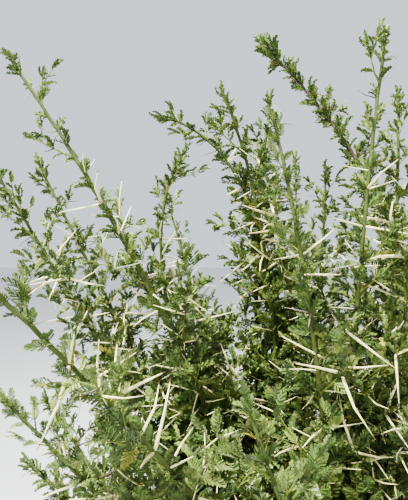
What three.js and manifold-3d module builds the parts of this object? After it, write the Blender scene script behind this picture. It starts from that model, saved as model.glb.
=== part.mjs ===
// A young acacia, whole and rooted: a short trunk with a root flare, limbs that fan out from its fork, and on
// each limb's tip one leafy, thorny shoot that carries the crown.
// Millimetres, +Z up. The origin is the centre of the flat cut under the trunk, at ground level.
import * as THREE from 'three';
import { mergeVertices } from 'three/addons/utils/BufferGeometryUtils.js';
import Module from 'manifold-3d';

const wasm = await Module();
wasm.setup();

const vector = (x, y, z) => new THREE.Vector3(x, y, z);
const UP = vector(0, 0, 1);
const MERGE_WITHIN = 1e-3;

// Trunk: its height to the fork, its radii, and the root flare with its buttress ridges.
const TRUNK_HEIGHT = 430;
const TRUNK_LEAN = vector(-14, 12, 0);
const FOOT_RADIUS = 36;
const FORK_RADIUS = 27;
const FLARE = 17;
const FLARE_HEIGHT = 70;
const RIDGES = 5;
const RIDGE_DEPTH = 0.16;
const TRUNK_SIDES = 15;
const TRUNK_STEPS = 9;

// Limbs: the radius at the tip, how fast they thin, and the clear gap wherever two pieces meet.
const TIP_RADIUS = 2.2;
const TAPER = 1.2;
const LIMB_SIDES = 6;
const LIMB_STEP = 130;
const LEAST_STEPS = 3;
const GAP = 0.3;

// Stems and side twigs of a shoot. Twigs vary in length, get shorter towards the tip and turn by the golden
// angle.
const STEM_SIDES = 4;
const STEM_STEP = 120;
const TWIG_SPACING = 158;
const TWIG_LENGTH = 205;
const TWIG_LENGTH_RANGE = { least: 0.7, more: 0.5 };
const TWIG_SHORTENING = 0.85;
const TWIG_PLACE = { least: 0.2, more: 0.5 };
const TWIG_TURN_PLAY = 0.8;
const TWIG_SPREAD = 0.95;
const TWIG_SPREAD_PLAY = 0.3;
const TWIG_LIFT = 0.25;
const TWIG_RADIUS = 2.3;
const TWIG_SIDES = 3;
const TWIG_TAPER = 0.4;
const FEWEST_TWIGS = 2;
const GOLDEN_ANGLE = Math.PI * (3 - Math.sqrt(5));

// Leaf sprays, as shares of a spray's length: each stands for the feathery leaves of one node.
const LEAF_LENGTH = 92;
const LEAF_SHAPE = { width: 0.4, thickness: 0.05, widest: 0.45 };
const LEAF_LENGTH_RANGE = { least: 0.8, more: 0.3 };
const LEAF_SPACING = 72;
const LEAF_PLACE = 0.9;
const LEAF_TURN_PLAY = 2;
const LEAF_LEAN = { twig: 0.7, twigEnd: 2.5, stem: 0.8 };
const STEM_LEAF_SHORTENING = 0.35;
const TIP_LEAF = { place: 0.99, size: 0.6 };
const TWIG_END = 0.96;

// Nodes along a stem bear a spray and a pair of thorns in turn. The thorns of the young tip are short.
const NODE_SPACING = 100;
const NODE_PLACE = 0.6;
const THORN_LENGTH = 78;
const THORN_LENGTH_RANGE = { least: 0.75, more: 0.35 };
const YOUNG_THORNS = { from: 0.75, size: 0.35 };
const THORN_RADIUS = 2.4;
const THORN_SIDES = 3;
const SLIMMEST_THORN = 0.55;
const THORN_TIP_RADIUS = 0.5;
const THORN_FORK = 0.7;
const THORN_LEAN = 0.2;

// Clear space kept between two shoots, measured on balls strung along their pieces.
const CLEARANCE = 2.5;
const LEAF_END_BALL = 1;
const BALL_SPACING = 6;
const LIMB_SAMPLE = 20;

// Each limb leaves its parent at a share of the parent's length, bends at its elbow and ends at its tip. Its
// lower share is bare, and the rest is the stem of its shoot. Radius is at the limb's foot.
function limbRow(name, parent, at, elbow, tip, radius, bare) {
  return { name, parent, at, elbow, tip, radius, bare };
}

const LIMBS = [
  limbRow('long_left', 'trunk', 0.93, [-110, -120, 1170], [-568, -50, 1806], 13, 0.4),
  limbRow('centre_front', 'trunk', 0.86, [-15, -240, 1120], [-131, -133, 1682], 10, 0.38),
  limbRow('right_old', 'trunk', 0.9, [300, 60, 1050], [330, 190, 1770], 15, 0.46),
  limbRow('upright', 'trunk', 0.97, [-185, 100, 1130], [-103, 70, 1774], 10, 0.4),
  limbRow('back_left', 'trunk', 0.82, [-150, 330, 950], [-350, 470, 1640], 14, 0.42),
  limbRow('right_front', 'right_old', 0.12, [-60, -190, 1180], [48, -109, 1811], 6.5, 0.38),
  limbRow('back_right', 'right_old', 0.2, [260, 330, 1000], [360, 500, 1560], 10, 0.42),
  limbRow('right_low', 'right_old', 0.26, [420, -40, 900], [640, -150, 1330], 9, 0.36),
  limbRow('front_right', 'centre_front', 0.14, [230, -260, 850], [350, -400, 1400], 7.5, 0.36),
  limbRow('near_left', 'centre_front', 0.3, [-190, -300, 1170], [-475, -385, 1485], 5, 0.3),
  limbRow('back_mid', 'back_left', 0.3, [40, 420, 1050], [30, 480, 1730], 8, 0.34),
  limbRow('left_edge', 'long_left', 0.24, [-330, 10, 1130], [-630, 5, 1640], 8, 0.3),
  limbRow('left_inner', 'back_left', 0.2, [-320, 60, 1160], [-580, 110, 1655], 8, 0.34),
  limbRow('left_low', 'back_left', 0.14, [-330, 120, 760], [-600, 190, 1130], 8, 0.36),
  limbRow('pale_thin', 'upright', 0.24, [-80, 0, 1500], [-202, 0, 1760], 6, 0.3),
  limbRow('small_mid', 'long_left', 0.36, [-400, 10, 1450], [-272, -15, 1649], 6, 0.34),
  limbRow('mid_left', 'upright', 0.33, [-35, 30, 1671], [-319, 28, 1724], 6, 0.4),
  limbRow('old_arch', 'right_old', 0.38, [300, 20, 1460], [-105, 195, 1930], 8, 0.36),
  limbRow('right_edge', 'right_front', 0.3, [100, -60, 1250], [112, -11, 1757], 4.5, 0.24),
  limbRow('low_left', 'centre_front', 0.22, [-200, -240, 980], [-510, -200, 1270], 6, 0.26),
  limbRow('low_front', 'centre_front', 0.26, [-60, -400, 960], [-190, -330, 1320], 6, 0.32),
  limbRow('inner_right', 'right_front', 0.2, [70, -110, 1050], [60, -170, 1460], 5, 0.36),
  limbRow('inner_back', 'upright', 0.3, [40, 210, 1150], [42, 200, 1660], 6, 0.36),
  limbRow('right_high', 'right_low', 0.3, [400, 40, 1180], [520, 60, 1640], 6, 0.26),
  limbRow('back_far', 'back_right', 0.34, [420, 330, 950], [610, 330, 1330], 6, 0.28),
  limbRow('back_low', 'back_left', 0.36, [-200, 480, 950], [-240, 650, 1290], 6, 0.28),
  limbRow('front_low', 'front_right', 0.26, [140, -420, 850], [120, -560, 1180], 6, 0.3),
  limbRow('low_edge', 'long_left', 0.3, [-280, -120, 930], [-530, -80, 1120], 6, 0.28),
  limbRow('low_mid', 'left_inner', 0.2, [-220, 0, 980], [-420, -20, 1170], 6, 0.28),
];

// Repeatable draws between 0 and 1 for one shoot, by a linear congruential rule.
function draws(seed) {
  let state = seed >>> 0;
  return () => {
    state = (Math.imul(state, 1664525) + 1013904223) >>> 0;
    return state / 2 ** 32;
  };
}

const within = (range, draw) => range.least + range.more * draw;

// A geometry as a solid that booleans accept.
function solidOf(geometry) {
  const bare = geometry.clone();
  bare.deleteAttribute('normal');
  bare.deleteAttribute('uv');
  const merged = mergeVertices(bare, MERGE_WITHIN);
  return new wasm.Manifold(new wasm.Mesh({
    numProp: 3,
    vertProperties: merged.attributes.position.array,
    triVerts: new Uint32Array(merged.index.array),
  }));
}

// A solid as the geometry of a mesh.
function geometryOf(solid) {
  const mesh = solid.getMesh();
  const geometry = new THREE.BufferGeometry();
  geometry.setAttribute('position', new THREE.BufferAttribute(mesh.vertProperties, 3));
  geometry.setIndex(new THREE.BufferAttribute(mesh.triVerts, 1));
  geometry.computeVertexNormals();
  return geometry;
}

// The largest body of a solid: loose scraps and sealed hollows are dropped.
function mainBody(solid) {
  const bodies = solid.decompose();
  return bodies.reduce((largest, body) => (body.volume() > largest.volume() ? body : largest));
}

// Two directions square to a tangent, from which turns round a stem are measured.
function squareTo(tangent) {
  const across = vector(0, 1, 0).cross(tangent).normalize();
  const over = vector(0, 0, 0).crossVectors(tangent, across);
  return { across, over };
}

function sideways(tangent, turn) {
  const { across, over } = squareTo(tangent);
  return across.multiplyScalar(Math.cos(turn)).addScaledVector(over, Math.sin(turn));
}

// A closed tube bent along a curve between two shares of its length: a cylinder whose rings follow the curve.
function bentTube(curve, from, to, radiusAt, sides, steps) {
  const tube = new THREE.CylinderGeometry(1, 1, 1, sides, steps);
  const position = tube.attributes.position;
  for (let i = 0; i < position.count; i++) {
    const share = from + (to - from) * (0.5 - position.getY(i));
    const tangent = curve.getTangentAt(share);
    const { across, over } = squareTo(tangent);
    const angle = Math.atan2(position.getZ(i), position.getX(i));
    const reach = Math.hypot(position.getX(i), position.getZ(i)) * radiusAt(share, angle);
    const point = curve.getPointAt(share)
      .addScaledVector(across, reach * Math.cos(angle))
      .addScaledVector(over, reach * Math.sin(angle));
    position.setXYZ(i, point.x, point.y, point.z);
  }
  return tube;
}

// A cone or leaf modelled along +Y is laid along a direction from a point.
function layAlong(geometry, from, direction, facing) {
  const y = direction.clone().normalize();
  const x = vector(0, 0, 0).crossVectors(y, facing).normalize();
  const z = vector(0, 0, 0).crossVectors(x, y);
  return geometry.applyMatrix4(new THREE.Matrix4().makeBasis(x, y, z).setPosition(from));
}

function trunkCurve() {
  const top = vector(0, 0, TRUNK_HEIGHT).add(TRUNK_LEAN);
  return new THREE.QuadraticBezierCurve3(vector(0, 0, 0), vector(0, 0, TRUNK_HEIGHT / 2), top);
}

// The trunk's radius at a share of its height: an even taper, with ridges that swell into the root flare.
function trunkRadius(share, angle) {
  const flare = Math.exp((-share * TRUNK_HEIGHT) / FLARE_HEIGHT);
  const ridge = 1 + RIDGE_DEPTH * flare * Math.cos(RIDGES * angle);
  return (FOOT_RADIUS + (FORK_RADIUS - FOOT_RADIUS) * share + FLARE * flare) * ridge;
}

function trunkSolid(thicker) {
  const radiusAt = (share, angle) => trunkRadius(share, angle) + thicker;
  return solidOf(bentTube(trunkCurve(), 0, 1, radiusAt, TRUNK_SIDES, TRUNK_STEPS));
}

// Every limb by name, with its curve and its radius at a share of its length.
function layOutLimbs() {
  const limbs = new Map([['trunk', { curve: trunkCurve() }]]);
  for (const row of LIMBS) {
    const foot = limbs.get(row.parent).curve.getPointAt(row.at);
    const curve = new THREE.QuadraticBezierCurve3(foot, vector(...row.elbow), vector(...row.tip));
    const radiusAt = (share) => TIP_RADIUS + (row.radius - TIP_RADIUS) * (1 - share) ** TAPER;
    const length = curve.getLength();
    limbs.set(row.name, { ...row, curve, radiusAt, length, leafy: length * (1 - row.bare) });
  }
  return limbs;
}

// The space taken so far, as balls strung along each piece and marked with its owner.
const taken = [];

function balls(points, radii) {
  const string = [];
  for (let i = 0; i + 1 < points.length; i++) {
    const count = Math.ceil(points[i].distanceTo(points[i + 1]) / BALL_SPACING);
    for (let k = 0; k <= count; k++) {
      const centre = points[i].clone().lerp(points[i + 1], k / count);
      string.push({ centre, radius: radii[i] + ((radii[i + 1] - radii[i]) * k) / count });
    }
  }
  return string;
}

function take(string, owner) {
  for (const ball of string) taken.push({ ...ball, owner });
}

// True where a string of balls keeps clear of every other owner's pieces.
function isFree(string, owner) {
  return string.every((ball) => taken.every((other) => {
    if (other.owner === owner) return true;
    const apart = ball.radius + other.radius + CLEARANCE;
    return ball.centre.distanceToSquared(other.centre) > apart * apart;
  }));
}

// The bare lower part of a limb, as a tapering tube.
function boughSolid(limb, thicker) {
  const steps = Math.max(LEAST_STEPS, Math.round((limb.length * limb.bare) / LIMB_STEP));
  const radiusAt = (share) => limb.radiusAt(share) + thicker;
  return solidOf(bentTube(limb.curve, 0, limb.bare, radiusAt, LIMB_SIDES, steps));
}

// A limb's own space: its bare part's, then that of its shoot's stem.
function takeLimb(limb) {
  const steps = Math.ceil(limb.length / LIMB_SAMPLE);
  const shares = Array.from({ length: steps + 1 }, (_, i) => i / steps);
  const takeShares = (list, owner) => {
    const points = list.map((share) => limb.curve.getPointAt(share));
    take(balls(points, list.map((share) => limb.radiusAt(share))), owner);
  };
  takeShares(shares.filter((share) => share <= limb.bare), limb.name);
  takeShares(shares.filter((share) => share > limb.bare), `${limb.name}_shoot`);
}

// A leaf spray: an eight-faced blade, widest below its middle and rolled about its own line.
function leafSolid(root, direction, length, roll) {
  const { width, thickness, widest } = LEAF_SHAPE;
  const blade = new THREE.OctahedronGeometry(1);
  const position = blade.attributes.position;
  for (let i = 0; i < position.count; i++) {
    const along = [0, widest, 1][Math.round(position.getY(i)) + 1];
    const across = (position.getX(i) * width * length) / 2;
    const through = (position.getZ(i) * thickness * length) / 2;
    position.setXYZ(i, across, along * length, through);
  }
  return solidOf(layAlong(blade, root, direction, sideways(direction, roll)));
}

function thornSolid(root, direction, length) {
  const radius = THORN_RADIUS * Math.max(SLIMMEST_THORN, length / THORN_LENGTH);
  const cone = new THREE.ConeGeometry(radius, length, THORN_SIDES).translate(0, length / 2, 0);
  return solidOf(layAlong(cone, root, direction, UP));
}

// One leaf spray, put on if it is clear of every other limb and shoot.
function addLeaf(shoot, root, direction, length) {
  const end = root.clone().addScaledVector(direction, length);
  const middle = root.clone().lerp(end, LEAF_SHAPE.widest);
  const half = (LEAF_SHAPE.width * length) / 2;
  const string = balls([root, middle, end], [LEAF_END_BALL, half, LEAF_END_BALL]);
  if (!isFree(string, shoot.owner)) return;
  take(string, shoot.owner);
  shoot.solids.push(leafSolid(root, direction, length, shoot.random() * Math.PI));
}

// A pair of thorns that fork from one node.
function addThorns(shoot, root, tangent, turn, length) {
  for (const side of [-1, 1]) {
    const outward = sideways(tangent, turn + side * THORN_FORK);
    const direction = outward.addScaledVector(tangent, THORN_LEAN).normalize();
    const end = root.clone().addScaledVector(direction, length);
    const string = balls([root, end], [THORN_RADIUS, THORN_TIP_RADIUS]);
    if (!isFree(string, shoot.owner)) continue;
    take(string, shoot.owner);
    shoot.solids.push(thornSolid(root, direction, length));
  }
}

// A side twig: a straight taper with leaf sprays round it, the last one at its end.
function addTwig(shoot, root, direction, length) {
  const end = root.clone().addScaledVector(direction, length);
  const string = balls([root, end], [TWIG_RADIUS, TWIG_RADIUS * (1 - TWIG_TAPER)]);
  if (!isFree(string, shoot.owner)) return;
  take(string, shoot.owner);
  const path = new THREE.LineCurve3(root, end);
  const radiusAt = (share) => TWIG_RADIUS * (1 - TWIG_TAPER * share);
  shoot.solids.push(solidOf(bentTube(path, 0, 1, radiusAt, TWIG_SIDES, 1)));
  const leaves = Math.max(1, Math.round(length / LEAF_SPACING));
  for (let i = 0; i < leaves; i++) {
    const lean = i + 1 === leaves ? LEAF_LEAN.twigEnd : LEAF_LEAN.twig;
    const outward = sideways(direction, i * GOLDEN_ANGLE + shoot.random() * LEAF_TURN_PLAY);
    const foot = path.getPointAt(Math.min((i + LEAF_PLACE) / leaves, TWIG_END));
    const leafLength = LEAF_LENGTH * within(LEAF_LENGTH_RANGE, shoot.random());
    addLeaf(shoot, foot, outward.addScaledVector(direction, lean).normalize(), leafLength);
  }
}

// The twigs of one shoot from its seeded draws: four draws a twig, for its place, turn, spread and length.
function twigPlan(limb, random) {
  const count = Math.max(FEWEST_TWIGS, Math.round(limb.leafy / TWIG_SPACING));
  return Array.from({ length: count }, (_, k) => {
    const along = (k + within(TWIG_PLACE, random())) / count;
    const share = limb.bare + (1 - limb.bare) * along;
    const tangent = limb.curve.getTangentAt(share);
    const turn = k * GOLDEN_ANGLE + random() * TWIG_TURN_PLAY;
    const spread = TWIG_SPREAD + TWIG_SPREAD_PLAY * (random() - 0.5);
    const direction = sideways(tangent, turn).multiplyScalar(Math.sin(spread))
      .addScaledVector(tangent, Math.cos(spread))
      .addScaledVector(UP, TWIG_LIFT)
      .normalize();
    const length = TWIG_LENGTH * (1 - TWIG_SHORTENING * along) * within(TWIG_LENGTH_RANGE, random());
    return { root: limb.curve.getPointAt(share), direction, length };
  });
}

// Sprays and thorns that stand on the stem itself, node by node up to the leafy tip.
function dressStem(shoot, limb) {
  const count = Math.round(limb.leafy / NODE_SPACING);
  for (let i = 0; i < count; i++) {
    const along = (i + NODE_PLACE) / count;
    const share = limb.bare + (1 - limb.bare) * along;
    const root = limb.curve.getPointAt(share);
    const tangent = limb.curve.getTangentAt(share);
    const turn = i * GOLDEN_ANGLE + shoot.random();
    const outward = sideways(tangent, turn).addScaledVector(tangent, LEAF_LEAN.stem).normalize();
    if (i % 2 === 0) {
      addLeaf(shoot, root, outward, LEAF_LENGTH * (1 - STEM_LEAF_SHORTENING * along));
    } else {
      const isYoung = along >= YOUNG_THORNS.from;
      const size = isYoung ? YOUNG_THORNS.size : within(THORN_LENGTH_RANGE, shoot.random());
      addThorns(shoot, root, tangent, turn, THORN_LENGTH * size);
    }
  }
  const tip = limb.curve.getPointAt(TIP_LEAF.place);
  addLeaf(shoot, tip, limb.curve.getTangentAt(1), LEAF_LENGTH * TIP_LEAF.size);
}

// One mass of foliage: the stem that carries on from its limb, with twigs, thorns and leaves fused to it.
function shootSolid(limb, index) {
  const shoot = { owner: `${limb.name}_shoot`, random: draws(index + 1), solids: [] };
  const from = limb.bare + GAP / limb.length;
  const steps = Math.max(LEAST_STEPS, Math.round(limb.leafy / STEM_STEP));
  shoot.solids.push(solidOf(bentTube(limb.curve, from, 1, limb.radiusAt, STEM_SIDES, steps)));
  for (const twig of twigPlan(limb, shoot.random)) addTwig(shoot, twig.root, twig.direction, twig.length);
  dressStem(shoot, limb);
  return mainBody(wasm.Manifold.union(shoot.solids));
}

const BARK = new THREE.MeshStandardMaterial({ color: 0x5b4a3a, roughness: 0.9, metalness: 0 });
const GREEN_BARK = new THREE.MeshStandardMaterial({ color: 0x6c7a3c, roughness: 0.75, metalness: 0 });
const FOLIAGE = new THREE.MeshStandardMaterial({ color: 0x6f8f45, roughness: 0.6, metalness: 0 });

const plant = new THREE.Group();

function addPiece(name, solid, material) {
  const mesh = new THREE.Mesh(geometryOf(solid), material);
  mesh.name = name;
  plant.add(mesh);
}

addPiece('trunk', trunkSolid(0), BARK);

// Each bough is cut clear of the trunk and of the boughs made before it.
const limbs = layOutLimbs();
const rows = LIMBS.map((row) => limbs.get(row.name));
const cutters = [trunkSolid(GAP)];
for (const limb of rows) {
  takeLimb(limb);
  const solid = cutters.reduce((rest, cutter) => rest.subtract(cutter), boughSolid(limb, 0));
  cutters.push(boughSolid(limb, GAP));
  addPiece(`${limb.name}_bough`, mainBody(solid), limb.parent === 'trunk' ? BARK : GREEN_BARK);
}

rows.forEach((limb, index) => addPiece(`${limb.name}_shoot`, shootSolid(limb, index), FOLIAGE));

export default plant;
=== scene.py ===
"""A young acacia, whole and rooted: bark, green shoots, feathery leaves and long thorns on its fixed frame.

Metres, +Z up. Each shoot of the frame is grown again here by the frame's own rule, and carried on to
finer twigs.
"""

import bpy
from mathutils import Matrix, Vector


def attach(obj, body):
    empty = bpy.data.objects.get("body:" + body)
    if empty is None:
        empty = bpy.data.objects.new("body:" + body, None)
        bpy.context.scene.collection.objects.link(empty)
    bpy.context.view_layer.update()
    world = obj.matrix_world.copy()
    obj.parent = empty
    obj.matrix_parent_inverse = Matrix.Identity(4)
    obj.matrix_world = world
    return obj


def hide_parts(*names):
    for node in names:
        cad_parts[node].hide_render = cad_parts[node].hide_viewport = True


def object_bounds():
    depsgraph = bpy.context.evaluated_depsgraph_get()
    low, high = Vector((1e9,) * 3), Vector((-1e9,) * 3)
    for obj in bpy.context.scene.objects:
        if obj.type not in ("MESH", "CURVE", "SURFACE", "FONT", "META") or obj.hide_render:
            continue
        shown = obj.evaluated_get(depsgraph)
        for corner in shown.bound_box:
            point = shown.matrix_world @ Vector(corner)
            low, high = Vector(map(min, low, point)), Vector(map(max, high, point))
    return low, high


bl_info = {
    "name": "Thorny acacia",
    "version": (1, 0, 0),
    "blender": (4, 5, 0),
    "location": "View3D > Sidebar > Acacia",
    "description": "Dresses the frame of a young acacia with bark, twigs, leaves and thorns",
    "category": "Add Mesh",
}

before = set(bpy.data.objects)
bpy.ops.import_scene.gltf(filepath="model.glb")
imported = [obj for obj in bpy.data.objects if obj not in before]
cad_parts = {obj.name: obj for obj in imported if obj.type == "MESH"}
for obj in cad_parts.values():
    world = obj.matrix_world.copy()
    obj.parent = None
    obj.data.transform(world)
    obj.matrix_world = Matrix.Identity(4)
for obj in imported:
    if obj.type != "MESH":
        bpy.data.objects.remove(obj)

import math

import bpy
import numpy as np
from bpy.props import FloatProperty, FloatVectorProperty, IntProperty, PointerProperty
from mathutils import Vector, noise

FRAME_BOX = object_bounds()
UP = np.array((0.0, 0.0, 1.0))
GOLDEN_ANGLE = math.pi * (3 - math.sqrt(5))

# The frame's trunk: height, lean at the top, radii, root flare with its ridges, and the share that is a dome.
TRUNK_HEIGHT = 0.43
TRUNK_LEAN = (-0.014, 0.012)
FOOT_RADIUS = 0.036
FORK_RADIUS = 0.027
FLARE = 0.017
FLARE_HEIGHT = 0.07
RIDGES = 5
RIDGE_DEPTH = 0.16
DOME_SHARE = 0.05

# The frame's limbs and the rule for their side twigs.
TIP_RADIUS = 0.0022
TAPER = 1.2
TWIG_SPACING = 0.158
TWIG_LENGTH = 0.205
TWIG_SPREAD = 0.95
TWIG_LIFT = 0.25

# Each limb: its parent, the share of the parent's length where it leaves, elbow, tip, radius at its foot,
# and the share of it that is bare.
LIMBS = {
    "long_left": ("trunk", 0.93, (-0.11, -0.12, 1.17), (-0.568, -0.05, 1.806), 0.013, 0.4),
    "centre_front": ("trunk", 0.86, (-0.015, -0.24, 1.12), (-0.131, -0.133, 1.682), 0.01, 0.38),
    "right_old": ("trunk", 0.9, (0.3, 0.06, 1.05), (0.33, 0.19, 1.77), 0.015, 0.46),
    "upright": ("trunk", 0.97, (-0.185, 0.1, 1.13), (-0.103, 0.07, 1.774), 0.01, 0.4),
    "back_left": ("trunk", 0.82, (-0.15, 0.33, 0.95), (-0.35, 0.47, 1.64), 0.014, 0.42),
    "right_front": ("right_old", 0.12, (-0.06, -0.19, 1.18), (0.048, -0.109, 1.811), 0.0065, 0.38),
    "back_right": ("right_old", 0.2, (0.26, 0.33, 1.0), (0.36, 0.5, 1.56), 0.01, 0.42),
    "right_low": ("right_old", 0.26, (0.42, -0.04, 0.9), (0.64, -0.15, 1.33), 0.009, 0.36),
    "front_right": ("centre_front", 0.14, (0.23, -0.26, 0.85), (0.35, -0.4, 1.4), 0.0075, 0.36),
    "near_left": ("centre_front", 0.3, (-0.19, -0.3, 1.17), (-0.475, -0.385, 1.485), 0.005, 0.3),
    "back_mid": ("back_left", 0.3, (0.04, 0.42, 1.05), (0.03, 0.48, 1.73), 0.008, 0.34),
    "left_edge": ("long_left", 0.24, (-0.33, 0.01, 1.13), (-0.63, 0.005, 1.64), 0.008, 0.3),
    "left_inner": ("back_left", 0.2, (-0.32, 0.06, 1.16), (-0.58, 0.11, 1.655), 0.008, 0.34),
    "left_low": ("back_left", 0.14, (-0.33, 0.12, 0.76), (-0.6, 0.19, 1.13), 0.008, 0.36),
    "pale_thin": ("upright", 0.24, (-0.08, 0.0, 1.5), (-0.202, 0.0, 1.76), 0.006, 0.3),
    "small_mid": ("long_left", 0.36, (-0.4, 0.01, 1.45), (-0.272, -0.015, 1.649), 0.006, 0.34),
    "mid_left": ("upright", 0.33, (-0.035, 0.03, 1.671), (-0.319, 0.028, 1.724), 0.006, 0.4),
    "old_arch": ("right_old", 0.38, (0.3, 0.02, 1.46), (-0.105, 0.195, 1.93), 0.008, 0.36),
    "right_edge": ("right_front", 0.3, (0.1, -0.06, 1.25), (0.112, -0.011, 1.757), 0.0045, 0.24),
    "low_left": ("centre_front", 0.22, (-0.2, -0.24, 0.98), (-0.51, -0.2, 1.27), 0.006, 0.26),
    "low_front": ("centre_front", 0.26, (-0.06, -0.4, 0.96), (-0.19, -0.33, 1.32), 0.006, 0.32),
    "inner_right": ("right_front", 0.2, (0.07, -0.11, 1.05), (0.06, -0.17, 1.46), 0.005, 0.36),
    "inner_back": ("upright", 0.3, (0.04, 0.21, 1.15), (0.042, 0.2, 1.66), 0.006, 0.36),
    "right_high": ("right_low", 0.3, (0.4, 0.04, 1.18), (0.52, 0.06, 1.64), 0.006, 0.26),
    "back_far": ("back_right", 0.34, (0.42, 0.33, 0.95), (0.61, 0.33, 1.33), 0.006, 0.28),
    "back_low": ("back_left", 0.36, (-0.2, 0.48, 0.95), (-0.24, 0.65, 1.29), 0.006, 0.28),
    "front_low": ("front_right", 0.26, (0.14, -0.42, 0.85), (0.12, -0.56, 1.18), 0.006, 0.3),
    "low_edge": ("long_left", 0.3, (-0.28, -0.12, 0.93), (-0.53, -0.08, 1.12), 0.006, 0.28),
    "low_mid": ("left_inner", 0.2, (-0.22, 0.0, 0.98), (-0.42, -0.02, 1.17), 0.006, 0.28),
}
MAIN_LIMBS = [name for name, row in LIMBS.items() if row[0] == "trunk"]
SHOOTS = [name + "_shoot" for name in LIMBS]

# Brown limbs with short spurs, set close.
OLD_LIMBS = ("old_arch", "right_old")
# Long whips of this year, with no spurs near their tips.
WHIPS = ("long_left", "right_front")
# Limbs that fill the foot, the heart and the sides of the crown with longer spurs, set closer.
BUSHY_LIMBS = (
    "low_left", "low_edge", "low_mid", "left_low", "left_edge",
    "low_front", "front_low", "inner_back", "inner_right", "right_edge",
)
# Limbs at the front, seen from nearest: their leaves have more leaflets, which stand apart.
FRONT_LIMBS = ("near_left", "low_left", "low_front", "centre_front")

# Spurs: the share of a limb's bare part where they start, and the share of a shoot where they end.
SPURS_START = 0.45
SPURS_END = 0.94
WHIP_SPURS_END = 0.58
# Length and spacing of spurs on old and on bushy limbs, as shares of those on other limbs.
OLD_SPUR_LENGTH = 0.3
OLD_SPUR_SPACING = 0.5
BUSHY_SPUR_LENGTH = 1.2
BUSHY_SPUR_SPACING = 0.65
# Spacing of nodes on an old limb and on a side twig, as shares of that on a stem.
OLD_NODE_SPACING = 0.55
TWIG_NODE_SPACING = 0.58

# Radii of the frame's side twigs, of spurs and of offshoots, in metres.
TWIG_RADIUS = 0.0019
SPUR_RADIUS = 0.0013
OFFSHOOT_RADIUS = 0.0011
# Lengths in metres from which a spur bears offshoots, and a side shoot counts as a twig.
FORKED_FROM = 0.07
TWIG_FROM = 0.08
# How far a stem and a twig step aside at a node, in metres, and how much thicker a stem is there.
STEM_KINK = 0.0009
TWIG_KINK = 0.0012
NODE_SWELL = 1.14
# How strongly side shoots of all kinds curve up, and spurs and offshoots lean up.
TWIG_RISE = 0.07
SPUR_LIFT = 0.15

# Nodes by the wood they stand on: the tuft of leaves as a share of the fullest, the odds of thorns, and
# the shortest thorn as a share of a full-grown one.
NODE_KINDS = {
    "stem": (1, 0.68, 0.5),
    "twig": (0.6, 0.4, 0.45),
    "spur": (0.6, 0.15, 0.25),
}
# The odds that thorns stand on the leaves' side of a node.
THORNS_BY_LEAVES = 0.3
# Thorns are young hooks past this share of a shoot.
HOOKS_FROM = 0.76
# How far thorns bend sideways, as a share of their length. The last is for hooks.
BOWS = (0.0, 0.04, -0.06, 0.1, 0.16)
HOOK = len(BOWS) - 1
# A thorn one unit long: distance and radius of its shaft's rings, and of the ring where its point starts.
THORN_SIDES = 5
SHAFT_RINGS = ((0, 0.021), (0.1, 0.028), (0.5, 0.02), (0.93, 0.006))
POINT_RING = (0.91, 0.0085)
# Leaves that close a stem's and a twig's tip, and the distance between two of them, in metres.
STEM_TIP_LEAVES = 18
TWIG_TIP_LEAVES = 4
TIP_LEAF_GAP = 0.0025

# The crown's shade: how far out and how high it reaches, over what height it deepens, in metres, and the
# depth past which leaves are plain.
SHADE_REACH = 0.5
SHADE_HEIGHT = 1.4
SHADE_FADE = 0.45
DEEP_SHADE = 0.65
# Painted shade: leaves take their full tones from this height up, and ever darker ones down to the foot of
# the crown.
SHADE_PAINTED_BELOW = 1.4
CROWN_FOOT = 0.5

# Leaf patterns: pairs of blades, their lean, fold and roll in radians, the arch of the stalk, and the length
# and width of a blade, for a leaf one unit long.
FEATHERS = (
    (8, 0.55, 0.2, 0.2, 0.12, 0.36, 0.088),
    (8, 0.6, -0.45, 0.2, 0.2, 0.34, 0.088),
    (8, 0.65, 0.6, 0.2, 0.15, 0.36, 0.09),
    (6, 0.6, 0.2, 0.4, 0.12, 0.33, 0.11),
    (6, 0.65, -0.45, 0.35, 0.2, 0.31, 0.11),
    (7, 0.7, 0.75, 0.45, 0.15, 0.33, 0.095),
    (5, 0.95, 0.95, 0.15, 0.08, 0.32, 0.2),
    (5, 0.6, 0.25, 0.4, 0.12, 0.35, 0.13),
    (6, 0.65, -0.35, 0.35, 0.18, 0.35, 0.11),
)
# The patterns of each kind of leaf: the first one's number, and how many there are.
LEAF_KINDS = {"front": (0, 3), "full": (3, 3), "young": (6, 1), "inner": (7, 2)}
# The share of leaves of each tone at the foot of a shoot and at its tip. Painted shade gives leaves deep in
# the crown and low down the foot's darker shares.
LEAF_TONES = {
    "shade": (0.25, 0.12),
    "deep": (0.25, 0.21),
    "mid": (0.2, 0.24),
    "olive": (0.13, 0.18),
    "fresh": (0.11, 0.15),
    "light": (0.05, 0.09),
    "gold": (0.01, 0.01),
}

# Skins: the trunk's sides, the distance between rings and the depth of the trunk's cracks and grain, in
# metres, and a crack's width as a share of its noise.
TRUNK_SIDES = 72
TRUNK_RING_GAP = 0.005
BOUGH_RING_GAP = 0.007
TRUNK_CRACKS = 0.0016
TRUNK_GRAIN = 0.0003
CRACK_WIDTH = 0.13
# A bough's collar and knots: swelling as a share of its radius, with length and spacing in metres, and the
# radius at which its cracks are at full depth.
COLLAR = 0.28
COLLAR_LENGTH = 0.05
KNOT = 0.06
KNOT_SPACING = 0.052
FULL_CRACKS_RADIUS = 0.015
# Wood is green up to this radius, and brown when thicker by this much.
GREEN_RADIUS = 0.0085
BROWN_BEYOND = 0.004

# The camera: where it stands, how many degrees below level it looks, and its sensor and lens in millimetres.
CAMERA_PLACE = (-0.235, -0.8)
CAMERA_DIP = 1.83
SENSOR_WIDTH = 36
LENS = 31.46
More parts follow.
